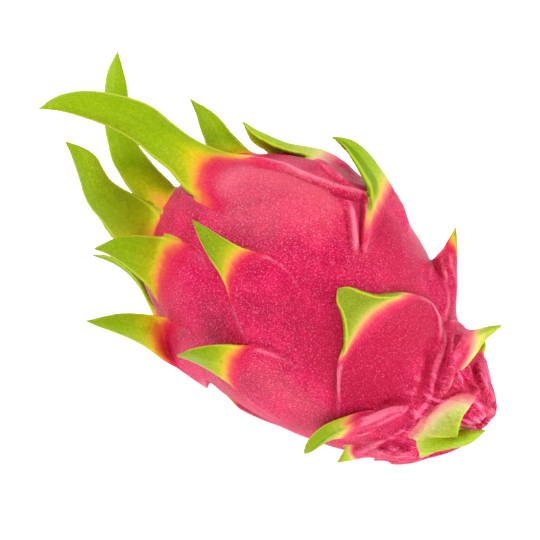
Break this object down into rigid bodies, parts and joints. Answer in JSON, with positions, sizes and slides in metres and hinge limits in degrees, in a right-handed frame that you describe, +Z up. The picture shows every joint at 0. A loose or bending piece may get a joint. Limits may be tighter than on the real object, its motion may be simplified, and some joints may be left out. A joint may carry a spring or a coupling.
{
  "type": "dragon fruit",
  "caption": "Whole red dragon fruit with leathery scales and a crown of long leaf-like scales, lying on its side on a small flat spot.",
  "frame": {"origin": "middle of the flat spot that the fruit rests on", "axes": "+Z up, away from the resting surface; +X along the fruit's length, from the crown of leaves towards the stem end; +Y towards the side that the picture doesn't show"},
  "size_m": [0.1818, 0.1086, 0.0998],
  "materials": {
    "fruit_skin": "satin, slightly waxy rind: crimson pink body, scale tips and crown leaves turning orange, yellow and lime green"
  },
  "bodies": {
    "root": {"dragon_fruit": "fruit_skin"}
  },
  "joints": []
}
